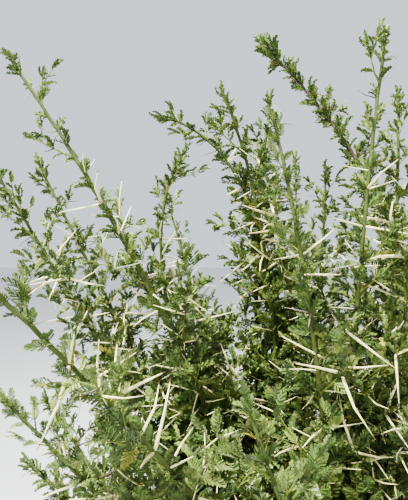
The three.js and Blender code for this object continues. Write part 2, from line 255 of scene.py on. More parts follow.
# Each lamp: place, size in metres and power in watts. All aim at AIM_HEIGHT, a share of the frame's.
LAMPS = {
    "key": ((-1.4, -1.3, 4.6), 0.6, 560),
    "back": ((1.6, 2.6, 4.0), 1.6, 150),
    "fill": ((0.6, -3.4, 1.5), 2.4, 40),
}
AIM_HEIGHT = 0.7
BACKDROP_STRENGTH = 1.25

# What each leaf and thorn tells the nodes, besides its place.
POINT_VALUES = (
    ("direction", "FLOAT_VECTOR"),
    ("facing", "FLOAT_VECTOR"),
    ("size", "FLOAT"),
    ("pattern", "INT"),
)


def linear(hex_colour):
    """The linear colour that Blender wants, from an sRGB hex value."""
    parts = [int(hex_colour[i:i + 2], 16) / 255 for i in (1, 3, 5)]
    return [p / 12.92 if p <= 0.04045 else ((p + 0.055) / 1.055) ** 2.4 for p in parts]


def colour(name, hex_colour, description):
    """A colour that the user can change."""
    return FloatVectorProperty(name=name, description=description, subtype="COLOR", size=3, min=0, max=1,
                               default=linear(hex_colour))


def length(name, default, description):
    """A length in metres that the user can change."""
    return FloatProperty(name=name, description=description, default=default, min=0, unit="LENGTH")


class AcaciaGrowth(bpy.types.PropertyGroup):
    """How finely the shoots branch, and how large their leaves and thorns are."""

    node_spacing: length("Node spacing", 0.029, "Distance between nodes, where leaves and thorns stand")
    spur_spacing: length("Spur spacing", 0.04, "Distance between short side shoots on a stem")
    spur_length: length("Spur length", 0.17, "Length of the longest short side shoot")
    offshoot_spacing: length("Offshoot spacing", 0.045, "Distance between offshoots on a side twig")
    offshoot_length: length("Offshoot length", 0.075, "Length of the longest offshoot of a side twig")
    leaf_length: length("Leaf length", 0.038, "Length of a full-grown leaf")
    leaves_per_node: IntProperty(name="Leaves per node", description="Leaves in one tuft", default=5, min=1)
    thorn_length: length("Thorn length", 0.082, "Length of a full-grown thorn")


class AcaciaColours(bpy.types.PropertyGroup):
    """Colours of leaves, thorns, shoots and bark."""

    # Painted shade: the darker tones are dealt out more, and the lighter ones less, deep in the crown and low
    # down. The rest of the spread is each leaf's own tone.
    leaf_shade: colour("Shade leaf", "#425427", "Oldest leaves, deep in the crown")
    leaf_deep: colour("Deep leaf", "#4c602c", "Old leaves inside the crown")
    leaf_mid: colour("Mid leaf", "#576d30", "Full-grown leaves")
    leaf_olive: colour("Olive leaf", "#687338", "Drier leaves among them")
    leaf_fresh: colour("Fresh leaf", "#728540", "Young leaves")
    leaf_light: colour("Light leaf", "#8a9a4e", "Newest leaves, near the tips")
    leaf_gold: colour("Golden leaf", "#969442", "A few yellowing leaves")
    thorn_ivory: colour("Ivory thorn", "#faf2b4", "Full-grown thorns")
    # The young thorns' dark tone is partly their own and partly painted shade, as of thorns near the tips
    # seen dark against the sky.
    thorn_young: colour("Young thorn", "#5f5838", "Thorns of the soft tips")
    thorn_grey: colour("Old thorn", "#9c9488", "Weathered thorns on old wood")
    thorn_tip: colour("Thorn point", "#6e4c33", "Sharp brown points")
    shoot: colour("Green shoot", "#505d27", "Green bark of young shoots")
    twig: colour("Fresh twig", "#84913d", "Yellow-green bark of this year's twigs")
    bark: colour("Bark", "#5f4d3c", "Brown bark of trunk and boughs")
    bark_crack: colour("Bark crack", "#2e251d", "Floor of the cracks in old bark")


class AcaciaStage(bpy.types.PropertyGroup):
    """Floor, light and camera."""

    floor_size: length("Floor size", 40.0, "Side of the square floor")
    eye_height: length("Eye height", 1.5, "Height of the camera above the ground")
    floor: colour("Floor", "#e4e4e1", "Plain pale floor")
    backdrop: colour("Backdrop", "#d3dae2", "Plain pale surroundings")


# Growth


def draws(seed):
    """A function that gives repeatable draws between 0 and 1, by the rule of the frame's shoots."""
    state = [seed]

    def draw():
        state[0] = (state[0] * 1664525 + 1013904223) % 2**32
        return state[0] / 2**32

    return draw


def unit(vector):
    return vector / np.linalg.norm(vector)


def sideways(tangent, turn):
    """The direction square to a tangent at a turn round it."""
    across = unit(np.cross((0.0, 1.0, 0.0), tangent))
    return across * math.cos(turn) + np.cross(tangent, across) * math.sin(turn)


class Line:
    """A centre line read by shares of its length."""

    def __init__(self, points):
        self.points = np.asarray(points, float)
        steps = np.linalg.norm(np.diff(self.points, axis=0), axis=1)
        reach = np.concatenate(([0.0], np.cumsum(steps)))
        self.length = reach[-1]
        self.shares = reach / self.length

    def at(self, share):
        return np.array([np.interp(share, self.shares, self.points[:, k]) for k in range(3)])

    def tangent(self, share):
        return unit(self.at(min(share + 0.01, 1.0)) - self.at(max(share - 0.01, 0.0)))


def bend(foot, elbow, tip):
    """A line that leaves its foot towards the elbow and comes to the tip from it."""
    t = np.linspace(0, 1, 201)[:, None]
    foot, elbow, tip = (np.asarray(p, float) for p in (foot, elbow, tip))
    return Line((1 - t) ** 2 * foot + 2 * t * (1 - t) * elbow + t * t * tip)


class Limb:
    """One limb of the frame: its line, the share that is bare, and its radius at a share of its length."""

    def __init__(self, name, line, radius, bare):
        self.line = line
        self.radius = radius
        self.bare = bare
        self.leafy = line.length * (1 - bare)
        self.is_old = name in OLD_LIMBS
        self.is_whip = name in WHIPS
        self.is_bushy = name in BUSHY_LIMBS
        self.is_front = name in FRONT_LIMBS

    def radius_at(self, share):
        return TIP_RADIUS + (self.radius - TIP_RADIUS) * (1 - share) ** TAPER


def trunk_line():
    top = (*TRUNK_LEAN, TRUNK_HEIGHT)
    return bend((0, 0, 0), (0, 0, TRUNK_HEIGHT / 2), top)


def lay_out_limbs():
    """Every limb of the frame by name."""
    lines = {"trunk": trunk_line()}
    limbs = {}
    for name, (parent, at, elbow, tip, radius, bare) in LIMBS.items():
        lines[name] = bend(lines[parent].at(at), elbow, tip)
        limbs[name] = Limb(name, lines[name], radius, bare)
    return limbs


def twig_plan(limb, draw):
    """The frame's own side twigs of one shoot: root, direction, length and place along the shoot."""
    count = max(2, round(limb.leafy / TWIG_SPACING))
    for k in range(count):
        along = (k + 0.2 + 0.5 * draw()) / count
        share = limb.bare + (1 - limb.bare) * along
        tangent = limb.line.tangent(share)
        turn = k * GOLDEN_ANGLE + draw() * 0.8
        spread = TWIG_SPREAD + 0.3 * (draw() - 0.5)
        direction = sideways(tangent, turn) * math.sin(spread) + tangent * math.cos(spread) + UP * TWIG_LIFT
        reach = TWIG_LENGTH * (1 - 0.85 * along) * (0.7 + 0.5 * draw())
        yield limb.line.at(share), unit(direction), reach, along


class Crown:
    """All that grows on the frame's limbs, as lists that the operators turn into pieces."""

    def __init__(self, sizes):
        self.sizes = sizes
        self.limbs = lay_out_limbs()
        self.stems = []
        self.twigs = []
        self.leaves = {tone: [] for tone in LEAF_TONES}
        self.thorns = {"ivory": [], "young": [], "grey": []}
        for index, limb in enumerate(self.limbs.values()):
            self.grow_shoot(limb, draws(index + 1), draws(1000 + index))

    def grow_shoot(self, limb, plan_draw, draw):
        """A shoot: the stem that carries on its limb, the frame's twigs, and short spurs between them."""
        self.grow_stem(limb, draw)
        for root, direction, reach, along in twig_plan(limb, plan_draw):
            twig = self.grow_twig(root, direction, reach, TWIG_RADIUS, along, limb, draw)
            self.grow_offshoots(twig, along, limb, draw)
        for share, turn in self.spur_places(limb, draw):
            along = max((share - limb.bare) / (1 - limb.bare), 0)
            direction = self.branch_direction(limb.line, share, turn, draw)
            reach = self.sizes.spur_length * (1 - 0.8 * along) * (0.45 + 0.55 * draw())
            reach *= OLD_SPUR_LENGTH if limb.is_old else BUSHY_SPUR_LENGTH if limb.is_bushy else 1
            spur = self.grow_twig(limb.line.at(share), direction, reach, SPUR_RADIUS, along, limb, draw)
            if reach > FORKED_FROM:
                self.grow_offshoots(spur, along, limb, draw)

    def spur_places(self, limb, draw):
        """Shares and turns at which spurs leave a limb: closer low down, and none near a whip's tip."""
        share = limb.bare * SPURS_START
        end = limb.bare + (1 - limb.bare) * (WHIP_SPURS_END if limb.is_whip else SPURS_END)
        turn = 2
        while share < end:
            yield share, turn + draw()
            crowding = 1
            if limb.is_old:
                crowding = OLD_SPUR_SPACING
            elif limb.is_bushy or share < limb.bare:
                crowding = BUSHY_SPUR_SPACING
            share += self.sizes.spur_spacing * crowding * (0.6 + 0.8 * draw()) / limb.line.length
            turn += GOLDEN_ANGLE

    def grow_offshoots(self, twig, along, limb, draw):
        """Offshoots along a twig, each shorter than the one before it."""
        count = int(twig.length / self.sizes.offshoot_spacing)
        for k in range(count):
            share = (k + 0.3 + 0.5 * draw()) / max(count, 1)
            direction = self.branch_direction(twig, share, k * GOLDEN_ANGLE + draw(), draw)
            reach = self.sizes.offshoot_length * (1 - 0.5 * share) * (0.5 + 0.5 * draw())
            own_along = 0.4 + 0.6 * along
            self.grow_twig(twig.at(share), direction, reach, OFFSHOOT_RADIUS, own_along, limb, draw)

    def branch_direction(self, line, share, turn, draw):
        """The way that a side shoot leaves a line."""
        tangent = line.tangent(share)
        spread = 0.8 + 0.4 * (draw() - 0.5)
        direction = sideways(tangent, turn) * math.sin(spread) + tangent * math.cos(spread)
        return unit(direction + UP * SPUR_LIFT)

    def grow_stem(self, limb, draw):
        """The stem bends a little at each node, where it is also slightly thicker."""
        spacing = self.sizes.node_spacing * (OLD_NODE_SPACING if limb.is_old else 1)
        count = round(limb.leafy / spacing)
        shares = limb.bare + (1 - limb.bare) * np.linspace(0, 1, 2 * count + 1)
        points = [limb.line.at(share) for share in shares]
        radii = [limb.radius_at(share) for share in shares]
        for i in range(1, 2 * count, 2):
            turn = i * GOLDEN_ANGLE / 2
            points[i] = points[i] + sideways(limb.line.tangent(shares[i]), turn) * STEM_KINK
            radii[i] *= NODE_SWELL
        stem = Line(points)
        self.stems.append((points, radii, limb.is_old))
        for i in range(1, 2 * count, 2):
            along = i / (2 * count)
            self.grow_node(points[i], stem.tangent(along), i * GOLDEN_ANGLE / 2, along, "stem", limb, draw)
        self.grow_tip(points[-1], stem.tangent(1), STEM_TIP_LEAVES, limb, draw)

    def grow_twig(self, root, direction, reach, radius, along, limb, draw):
        """A side twig, which curves up a little and bends at each node."""
        count = max(2, round(reach / (self.sizes.node_spacing * TWIG_NODE_SPACING)))
        points = []
        for i in range(count + 1):
            share = i / count
            kink = sideways(direction, i * GOLDEN_ANGLE) * (TWIG_KINK if 0 < i < count else 0)
            points.append(root + direction * reach * share + UP * TWIG_RISE * reach * share**2 + kink)
        radii = [radius * (1 - 0.55 * i / count) for i in range(count + 1)]
        twig = Line(points)
        self.twigs.append((points, radii, limb.is_old))
        kind = "twig" if reach > TWIG_FROM else "spur"
        foot = max(along, 0.25)
        for i in range(1, count):
            share = i / count
            turn = i * GOLDEN_ANGLE + draw()
            own_along = foot + (1 - foot) * share * 0.5
            self.grow_node(points[i], twig.tangent(share), turn, own_along, kind, limb, draw)
        self.grow_tip(points[-1], twig.tangent(1), TWIG_TIP_LEAVES, limb, draw)
        return twig

    def grow_node(self, place, tangent, turn, along, kind, limb, draw):
        """A node: a tuft of leaves on one side and, at many nodes, a pair of thorns that fork round it."""
        tuft, odds, _ = NODE_KINDS[kind]
        for _ in range(round(self.sizes.leaves_per_node * tuft * (0.5 + draw()))):
            own_turn = turn + (draw() - 0.5) * 2.6
            self.add_leaf(place, tangent, own_turn, 0.5 + 0.8 * draw(), along, limb, draw)
        if draw() < odds:
            own_turn = turn + math.pi * (draw() < THORNS_BY_LEAVES)
            self.add_thorns(place, tangent, own_turn, along, kind, limb, draw)

    def grow_tip(self, place, tangent, count, limb, draw):
        """A tip ends in small leaves that still stand up close together."""
        for k in range(count):
            turn = k * GOLDEN_ANGLE + draw()
            lean = 0.1 + 0.045 * k + 0.2 * draw()
            self.add_leaf(place - tangent * TIP_LEAF_GAP * k, tangent, turn, lean, 1.0, limb, draw)

    def add_leaf(self, place, tangent, turn, lean, along, limb, draw):
        """A leaf: small and folded near a tip, and large in the crown's shade, where painted shade makes its
        tone dark.

        It is plain in the shade, and finely divided on the front limbs.
        """
        direction = unit(sideways(tangent, turn) * math.sin(lean) + tangent * math.cos(lean))
        facing = UP + 0.5 * tangent + np.array([draw() - 0.5, draw() - 0.5, draw() - 0.5]) * 2.4
        shade = shade_at(place)
        youth = 0.3 if limb.is_old else 0.5 * along**1.5
        size = self.sizes.leaf_length * (0.65 + 0.55 * draw()) * (1 - youth) * (1 + 0.25 * shade)
        # Painted shade: a leaf's tone is darker deep in the crown's shade and low down.
        height = (place[2] - CROWN_FOOT) / (SHADE_PAINTED_BELOW - CROWN_FOOT)
        tone = leaf_tone(draw(), along * (1 - shade) * min(max(height, 0), 1))
        kind = "inner" if shade > DEEP_SHADE else "young" if draw() < along**2 else "full"
        if limb.is_front:
            kind = "front"
        first, count = LEAF_KINDS[kind]
        self.leaves[tone].append((place, direction, facing, size, first + int(draw() * count)))

    def add_thorns(self, place, tangent, turn, along, kind, limb, draw):
        """A pair of thorns: long on grown wood, short hooks near a tip, and short and grey on old wood."""
        is_young = along > HOOKS_FROM
        share = NODE_KINDS[kind][2] + 0.6 * draw()
        if is_young:
            share = 0.24 + 0.18 * draw()
        if limb.is_old:
            share = 0.2 + 0.3 * draw()
        reach = self.sizes.thorn_length * share
        luck = draw()
        # Thorns near a tip take the dark young tone: partly their own colour, partly painted shade.
        tone = "grey" if limb.is_old or luck < 0.05 else "young" if is_young or luck < 0.1 else "ivory"
        for side in (-1, 1):
            outward = sideways(tangent, turn + side * (0.85 + 0.5 * (draw() - 0.5)))
            direction = unit(outward + tangent * (0.2 + 1.2 * (draw() - 0.5)))
            own_reach = reach * (0.85 + 0.3 * draw())
            bow = HOOK if is_young else int(draw() * HOOK)
            self.thorns[tone].append((place, direction, UP + tangent * draw(), own_reach, bow))


def shade_at(place):
    """How deep in the crown's shade a place lies, from 0 to 1."""
    inward = 1.1 - math.hypot(place[0], place[1]) / SHADE_REACH
    below = (SHADE_HEIGHT - place[2]) / SHADE_FADE
    return min(max(inward, 0), 1) * min(max(below, 0), 1)


def leaf_tone(luck, along):
    """The tone that a draw picks for a leaf at a place along its shoot, with painted shade: darker deep in
    the crown and low down.
    """
    for tone, (foot_share, tip_share) in LEAF_TONES.items():
        luck -= foot_share + (tip_share - foot_share) * along
        if luck < 0:
            break
    return tone


crowns = []


def crown():
    """The grown crown, made once."""
    if not crowns:
        crowns.append(Crown(bpy.context.scene.acacia_growth))
    return crowns[0]


# Finishes


def add_node(tree, kind, settings=None, links=None):
    """Adds a node, sets its properties or sockets by name, and links its sockets to others' outputs."""
    node = tree.nodes.new(kind)
    for name, value in (settings or {}).items():
        if isinstance(name, str) and hasattr(node, name):
            setattr(node, name, value)
        else:
            node.inputs[name].default_value = value
    for name, source in (links or {}).items():
        tree.links.new(source, node.inputs[name])
    return node


def new_material(name, roughness, **settings):
    """A material with the Principled shader's own numbers set. Returns it with its tree and shader."""
    material = bpy.data.materials.new(name)
    material.use_nodes = True
    tree = material.node_tree
    shader = tree.nodes["Principled BSDF"]
    shader.inputs["Roughness"].default_value = roughness
    for socket, value in settings.items():
        shader.inputs[socket.replace("_", " ")].default_value = value
    return material, tree, shader


def per_mm(millimetres):
    """A noise scale for features of that size, on object coordinates in metres."""
    return 1000 / millimetres


def mottled(tree, shader, base, light, dark, size_mm):
    """Base colour that drifts between a light and a dark form of one. Returns the node of coordinates."""
    place = add_node(tree, "ShaderNodeTexCoord")
    blotch = add_node(tree, "ShaderNodeTexNoise", {"Scale": per_mm(size_mm), "Detail": 3.0},
                      {"Vector": place.outputs["Object"]})
    ramp = add_node(tree, "ShaderNodeValToRGB", links={"Fac": blotch.outputs["Fac"]})
    ramp.color_ramp.elements[0].position = 0.32
    ramp.color_ramp.elements[1].position = 0.68
    ramp.color_ramp.elements[0].color = (*[c * dark for c in base], 1)
    ramp.color_ramp.elements[1].color = (*[min(c * light, 1) for c in base], 1)
    tree.links.new(ramp.outputs["Color"], shader.inputs["Base Color"])
    return place


def leaf_material(name, base):
    """Living leaf: a thin waxy skin over soft green, so a broad weak gloss and little clear shine."""
    material, tree, shader = new_material(name, 0.5, IOR=1.42, Sheen_Weight=0.08)
    mottled(tree, shader, base, 1.18, 0.82, 14)
    return material


def thorn_material(name, base):
    """Thorn: dense dry wood with a hard smooth skin, so a soft gloss along its shaft."""
    material, tree, shader = new_material(name, 0.42, IOR=1.5)
    place = mottled(tree, shader, base, 1.06, 0.86, 9)
    grain = add_node(tree, "ShaderNodeTexNoise", {"Scale": per_mm(1.5), "Detail": 2.0},
                     {"Vector": place.outputs["Object"]})
    bump = add_node(tree, "ShaderNodeBump", {"Strength": 0.2, "Distance": 0.0003},
                    {"Height": grain.outputs["Fac"]})
    tree.links.new(bump.outputs["Normal"], shader.inputs["Normal"])
    return material


def bark_material(name, colours, young):
    """Acacia bark: smooth and green on young wood, brown, dull and cracked on old, by the mesh's own age."""
    material, tree, shader = new_material(name, 0.8, IOR=1.45)
    place = add_node(tree, "ShaderNodeTexCoord")
    age = add_node(tree, "ShaderNodeAttribute", {"attribute_name": "age"})
    stretched = add_node(tree, "ShaderNodeMapping", {"Scale": (1.0, 1.0, 0.25)},
                         {"Vector": place.outputs["Object"]})
    cracks = add_node(tree, "ShaderNodeTexNoise", {"Scale": per_mm(9), "Detail": 6.0, "Roughness": 0.62},
                      {"Vector": stretched.outputs["Vector"]})
    brown = add_node(tree, "ShaderNodeValToRGB", links={"Fac": cracks.outputs["Fac"]})
    brown.color_ramp.elements[0].position = 0.36
    brown.color_ramp.elements[1].position = 0.62
    brown.color_ramp.elements[0].color = (*colours.bark_crack, 1)
    brown.color_ramp.elements[1].color = (*colours.bark, 1)
    pores = add_node(tree, "ShaderNodeTexNoise", {"Scale": per_mm(5), "Detail": 3.0},
                     {"Vector": place.outputs["Object"]})
    green = add_node(tree, "ShaderNodeValToRGB", links={"Fac": pores.outputs["Fac"]})
    green.color_ramp.elements[0].position = 0.35
    green.color_ramp.elements[1].position = 0.66
    green.color_ramp.elements[0].color = (*[c * 0.6 for c in young], 1)
    green.color_ramp.elements[1].color = (*young, 1)
    mix = add_node(tree, "ShaderNodeMix", {"data_type": "RGBA"},
                   {0: age.outputs["Fac"], 6: green.outputs["Color"], 7: brown.outputs["Color"]})
    tree.links.new(mix.outputs[2], shader.inputs["Base Color"])
    bump = add_node(tree, "ShaderNodeBump", {"Strength": 0.5, "Distance": 0.0012},
                    {"Height": cracks.outputs["Fac"]})
    tree.links.new(bump.outputs["Normal"], shader.inputs["Normal"])
    return material


def plain_material(name, base, roughness):
    """Matt paper or paint: no gloss, and a faint drift of tone as on a studio floor."""
    material, tree, shader = new_material(name, roughness)
    mottled(tree, shader, base, 1.02, 0.98, 900)
    return material


# Making pieces


def finish_piece(piece, slot, nodes):
    """Seats a finished piece in the frame."""
    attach(piece, "root")
    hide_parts(*nodes)


def new_mesh(name, verts, faces, edges=()):
    mesh = bpy.data.meshes.new(name)
    mesh.from_pydata([tuple(v) for v in verts], edges, faces)
    return mesh


def new_object(name, data):
    made = bpy.data.objects.new(name, data)
    bpy.context.scene.collection.objects.link(made)
    return made


def mesh_object(name, verts, faces, edges=()):
    return new_object(name, new_mesh(name, verts, faces, edges))


def write_values(mesh, name, kind, values):
    """Stores one value a vertex under a name that nodes can read."""
    attribute = mesh.attributes.new(name, kind, "POINT")
    field = "vector" if kind == "FLOAT_VECTOR" else "value"
    attribute.data.foreach_set(field, np.asarray(values).ravel())


def new_tree(name, inputs):
    """A Geometry Nodes tree with named inputs. Returns it, its input node and each input's identifier."""
    tree = bpy.data.node_groups.new(name, "GeometryNodeTree")
    tree.interface.new_socket("Mesh", in_out="OUTPUT", socket_type="NodeSocketGeometry")
    made = {label: tree.interface.new_socket(label, in_out="INPUT", socket_type=kind).identifier
            for label, kind in inputs.items()}
    return tree, add_node(tree, "NodeGroupInput"), made


def end_tree(tree, shape, given):
    """Ends a tree with real geometry in its finish."""
    real = add_node(tree, "GeometryNodeRealizeInstances", links={"Geometry": shape})
    coloured = add_node(tree, "GeometryNodeSetMaterial", links={
        "Geometry": real.outputs["Geometry"], "Material": given.outputs["Finish"]})
    add_node(tree, "NodeGroupOutput", links={"Mesh": coloured.outputs["Geometry"]})


def points_tree():
    """Sets a pattern on every point, turned and sized by the point's own values."""
    tree, given, sockets = new_tree("pattern_on_points", {
        "Points": "NodeSocketGeometry",
        "Patterns": "NodeSocketCollection",
        "Finish": "NodeSocketMaterial",
    })
    read = {name: add_node(tree, "GeometryNodeInputNamedAttribute", {"data_type": kind, "Name": name})
            for name, kind in POINT_VALUES}
    turned = add_node(tree, "FunctionNodeAxesToRotation", {"primary_axis": "Y", "secondary_axis": "Z"},
                      {"Primary Axis": read["direction"].outputs["Attribute"],
                       "Secondary Axis": read["facing"].outputs["Attribute"]})
    patterns = add_node(tree, "GeometryNodeCollectionInfo",
                        {"Separate Children": True, "Reset Children": True},
                        {"Collection": given.outputs["Patterns"]})
    placed = add_node(tree, "GeometryNodeInstanceOnPoints", {"Pick Instance": True}, {
        "Points": given.outputs["Points"],
        "Instance": patterns.outputs["Instances"],
        "Instance Index": read["pattern"].outputs["Attribute"],
        "Rotation": turned.outputs["Rotation"],
        "Scale": read["size"].outputs["Attribute"],
    })
    end_tree(tree, placed.outputs["Instances"], given)
    return tree, sockets


def shoots_tree():
    """Turns lines of vertices into round shoots, as thick as each vertex says."""
    tree, given, sockets = new_tree("round_shoots", {
        "Lines": "NodeSocketGeometry",
        "Sides": "NodeSocketInt",
        "Finish": "NodeSocketMaterial",
    })
    thickness = add_node(tree, "GeometryNodeInputNamedAttribute",
                         {"data_type": "FLOAT", "Name": "thickness"})
    ring = add_node(tree, "GeometryNodeCurvePrimitiveCircle", {"Radius": 1.0},
                    {"Resolution": given.outputs["Sides"]})
    curves = add_node(tree, "GeometryNodeMeshToCurve", links={"Mesh": given.outputs["Lines"]})
    skin = add_node(tree, "GeometryNodeCurveToMesh", {"Fill Caps": True}, {
        "Curve": curves.outputs["Curve"],
        "Profile Curve": ring.outputs["Curve"],
        "Scale": thickness.outputs["Attribute"],
    })
    smooth = add_node(tree, "GeometryNodeSetShadeSmooth", links={"Geometry": skin.outputs["Mesh"]})
    end_tree(tree, smooth.outputs["Geometry"], given)
    return tree, sockets


def grown_by(tree_and_sockets, name, source, values):
    """A plain mesh object made by a Geometry Nodes tree from a source object, which is then removed."""
    tree, sockets = tree_and_sockets
    modifier = source.modifiers.new("grow", "NODES")
    modifier.node_group = tree
    for label, value in values.items():
        modifier[sockets[label]] = value
    depsgraph = bpy.context.evaluated_depsgraph_get()
    mesh = bpy.data.meshes.new_from_object(source.evaluated_get(depsgraph), depsgraph=depsgraph)
    source.modifiers.remove(modifier)
    bpy.data.objects.remove(source)
    mesh.name = name
    return new_object(name, mesh)


def pattern_collection(name, shapes):
    """A hidden collection of pattern meshes, in the order given. A shape is its vertices and faces."""
    made = bpy.data.collections.new(name)
    for index, (verts, faces) in enumerate(shapes):
        label = f"{name}_{index}"
        made.objects.link(bpy.data.objects.new(label, new_mesh(label, verts, faces)))
    return made


def scatter(name, rows, patterns, material):
    """A piece with one pattern for each row of a place and its POINT_VALUES."""
    source = mesh_object(name + "_points", [row[0] for row in rows], [])
    for column, (label, kind) in enumerate(POINT_VALUES, 1):
        write_values(source.data, label, kind, [row[column] for row in rows])
    return grown_by(points_tree(), name, source, {"Patterns": patterns, "Finish": material})


def lines_object(name, rows, age_of):
    """Vertices and edges of many centre lines, each vertex with its thickness and age."""
    verts, edges, thickness, age = [], [], [], []
    for points, radii, is_old in rows:
        first = len(verts)
        verts.extend(points)
        edges.extend((first + i, first + i + 1) for i in range(len(points) - 1))
        thickness.extend(radii)
        age.extend(age_of(radius, is_old) for radius in radii)
    made = mesh_object(name, verts, [], edges)
    write_values(made.data, "thickness", "FLOAT", thickness)
    write_values(made.data, "age", "FLOAT", age)
    return made


def age_of_wood(radius, is_old):
    """How old wood looks, from 0, green, to 1, brown: by its thickness, and old limbs are brown all along."""
    age = min(max((radius - GREEN_RADIUS) / BROWN_BEYOND, 0.0), 1.0)
    return max(age, 0.95) if is_old else age


# Patterns


def blade(foot, along, across, reach, half_width):
    """One blade of a leaf: a narrow strip, a little wider at its blunt end."""
    end = foot + along * reach
    verts = [foot + across * half_width * 0.6, foot - across * half_width * 0.6,
             end - across * half_width, end + across * half_width]
    return verts, [(0, 3, 2, 1)]


def flat_stalk(line, half_width):
    """A leaf's stalk: two narrow faces, widest at its middle, where it bends."""
    side = np.array((half_width, 0, 0))
    middle = line.at(0.5)
    return [line.at(0), middle + side, line.at(1), middle - side], [(0, 1, 3), (1, 2, 3)]


def join_shapes(shapes):
    verts, faces = [], []
    for more_verts, more_faces in shapes:
        first = len(verts)
        verts.extend(more_verts)
        faces.extend(tuple(first + i for i in face) for face in more_faces)
    return verts, faces


def feather(pairs, lean, fold, roll, arch, blade_length, blade_width):
    """A feathery leaf one unit long: a stalk, and pairs of narrow blades that fold up and roll like slats."""
    stalk = Line([(0, y, arch * 4 * y * (1 - y)) for y in np.linspace(0, 1, 9)])
    shapes = [flat_stalk(stalk, 0.022)]
    for i in range(pairs):
        share = i / (pairs - 1)
        foot = stalk.at(0.16 + 0.76 * share)
        own_roll = roll + (0.4 if i % 2 else -0.4)
        angle = lean * (1 - share) + 1.25 * share
        reach = blade_length * (1 - 0.9 * (share - 0.4) ** 2 * (1.6 if share > 0.4 else 1))
        for side in (-1, 1):
            flat = np.array((side * math.cos(angle) * math.cos(fold), math.sin(angle),
                             math.cos(angle) * math.sin(fold)))
            over = unit(np.array((-side * math.sin(fold), 0, math.cos(fold))))
            forward = side * np.cross(over, flat)
            slat = forward * math.cos(own_roll) + over * math.sin(own_roll)
            shapes.append(blade(foot, flat, -side * slat, reach, blade_width / 2))
    return join_shapes(shapes)


def thorn_rings(places, bow):
    """Rings of a thorn one unit long at places (distance, radius). A bow bends it sideways."""
    angles = [2 * math.pi * k / THORN_SIDES for k in range(THORN_SIDES)]
    verts = []
    for y, radius in places:
        x = bow * 4 * y * (1 - y)
        verts.extend((x + radius * math.cos(a), y, radius * math.sin(a)) for a in angles)
    faces = [tuple(range(THORN_SIDES))]
    for ring in range(len(places) - 1):
        first = ring * THORN_SIDES
        beyond = first + THORN_SIDES
        for k in range(THORN_SIDES):
            after = (k + 1) % THORN_SIDES
            faces.append((first + k, beyond + k, beyond + after, first + after))
    return verts, faces


def thorn_shaft(bow):
    verts, faces = thorn_rings(SHAFT_RINGS, bow)
    last_ring = range(len(verts) - THORN_SIDES, len(verts))
    faces.append(tuple(reversed(last_ring)))
    return verts, faces


def thorn_point(bow):
    verts, faces = thorn_rings([POINT_RING], bow)
    verts.append((0, 1, 0))
    faces.extend((k, THORN_SIDES, (k + 1) % THORN_SIDES) for k in range(THORN_SIDES))
    return verts, faces


# Bark


def trunk_radius(share, angle):
    flare = math.exp(-share * TRUNK_HEIGHT / FLARE_HEIGHT)
    ridge = 1 + RIDGE_DEPTH * flare * math.cos(RIDGES * angle)
    dome = math.sqrt(max(1 - max((share - (1 - DOME_SHARE)) / DOME_SHARE, 0) ** 2, 0.02))
    return (FOOT_RADIUS + (FORK_RADIUS - FOOT_RADIUS) * share + FLARE * flare) * ridge * dome


def crack_depth(angle, distance, seed, ridges, stretch):
    """From 0 on a plate of bark to 1 at the floor of a crack, by a noise that runs long ways."""
    place = Vector((math.cos(angle) * ridges + seed, math.sin(angle) * ridges, distance * stretch))
    drift = noise.noise(place)
    return math.exp(-(drift / CRACK_WIDTH) ** 2), drift


def bark_skin(line, end, radius_at, sides, ring_gap, relief):
    """A closed skin round a line, up to a share of its length. relief gives a height at an angle."""
    rings = max(3, round(line.length * end / ring_gap))
    verts = []
    for r in range(rings + 1):
        share = end * r / rings
        centre = line.at(share)
        tangent = line.tangent(share) if r else unit(line.points[1] - line.points[0])
        for k in range(sides):
            angle = 2 * math.pi * k / sides
            reach = radius_at(share, angle) + relief(angle, share * line.length)
            verts.append(centre + sideways(tangent, angle) * reach)
    faces = [tuple(range(sides))[::-1]]
    for r in range(rings):
        for k in range(sides):
            after = (k + 1) % sides
            a, b = r * sides, (r + 1) * sides
            faces.append((a + k, a + after, b + after, b + k))
    faces.append(tuple(rings * sides + k for k in range(sides)))
    return verts, faces


def bough_skin(limb, seed, sides, depth):
    """A bough with a collar where it leaves its parent, and bark that is rougher the thicker it is."""
    def radius_at(share, angle):
        distance = share * limb.line.length
        collar = COLLAR * math.exp(-distance / COLLAR_LENGTH)
        knot = KNOT * math.exp(-((distance / KNOT_SPACING % 1 - 0.5) / 0.12) ** 2)
        return limb.radius_at(share) * (1 + collar + knot)

    def relief(angle, distance):
        crack, drift = crack_depth(angle, distance, seed, ridges=1.6, stretch=26)
        thickness = limb.radius_at(distance / limb.line.length) / FULL_CRACKS_RADIUS
        return depth * thickness * (0.5 * drift - crack)

    return bark_skin(limb.line, limb.bare, radius_at, sides, BOUGH_RING_GAP, relief)


def smooth_shading(mesh):
    mesh.polygons.foreach_set("use_smooth", [True] * len(mesh.polygons))


# Operators


class ACACIA_OT_trunk(bpy.types.Operator):
    """Make the trunk with its root flare and cracked bark"""

    bl_idname = "acacia.trunk"
    bl_label = "Trunk"

    def execute(self, context):
        def relief(angle, distance):
            crack, drift = crack_depth(angle, distance, seed=3.7, ridges=2.4, stretch=15)
            grain = noise.noise(Vector((angle * 9, distance * 160, 0.3)))
            return TRUNK_CRACKS * (0.6 * drift - crack) + TRUNK_GRAIN * grain

        verts, faces = bark_skin(trunk_line(), 1.0, trunk_radius, TRUNK_SIDES, TRUNK_RING_GAP, relief)
        verts = [(x, y, max(z, 0.0)) for x, y, z in verts]
        piece = mesh_object("trunk_bark", verts, faces)
        write_values(piece.data, "age", "FLOAT", [1.0] * len(verts))
        smooth_shading(piece.data)
        colours = context.scene.acacia_colours
        piece.data.materials.append(bark_material("old_bark", colours, colours.shoot))
        finish_piece(piece, "bark", ["trunk"])
        return {"FINISHED"}


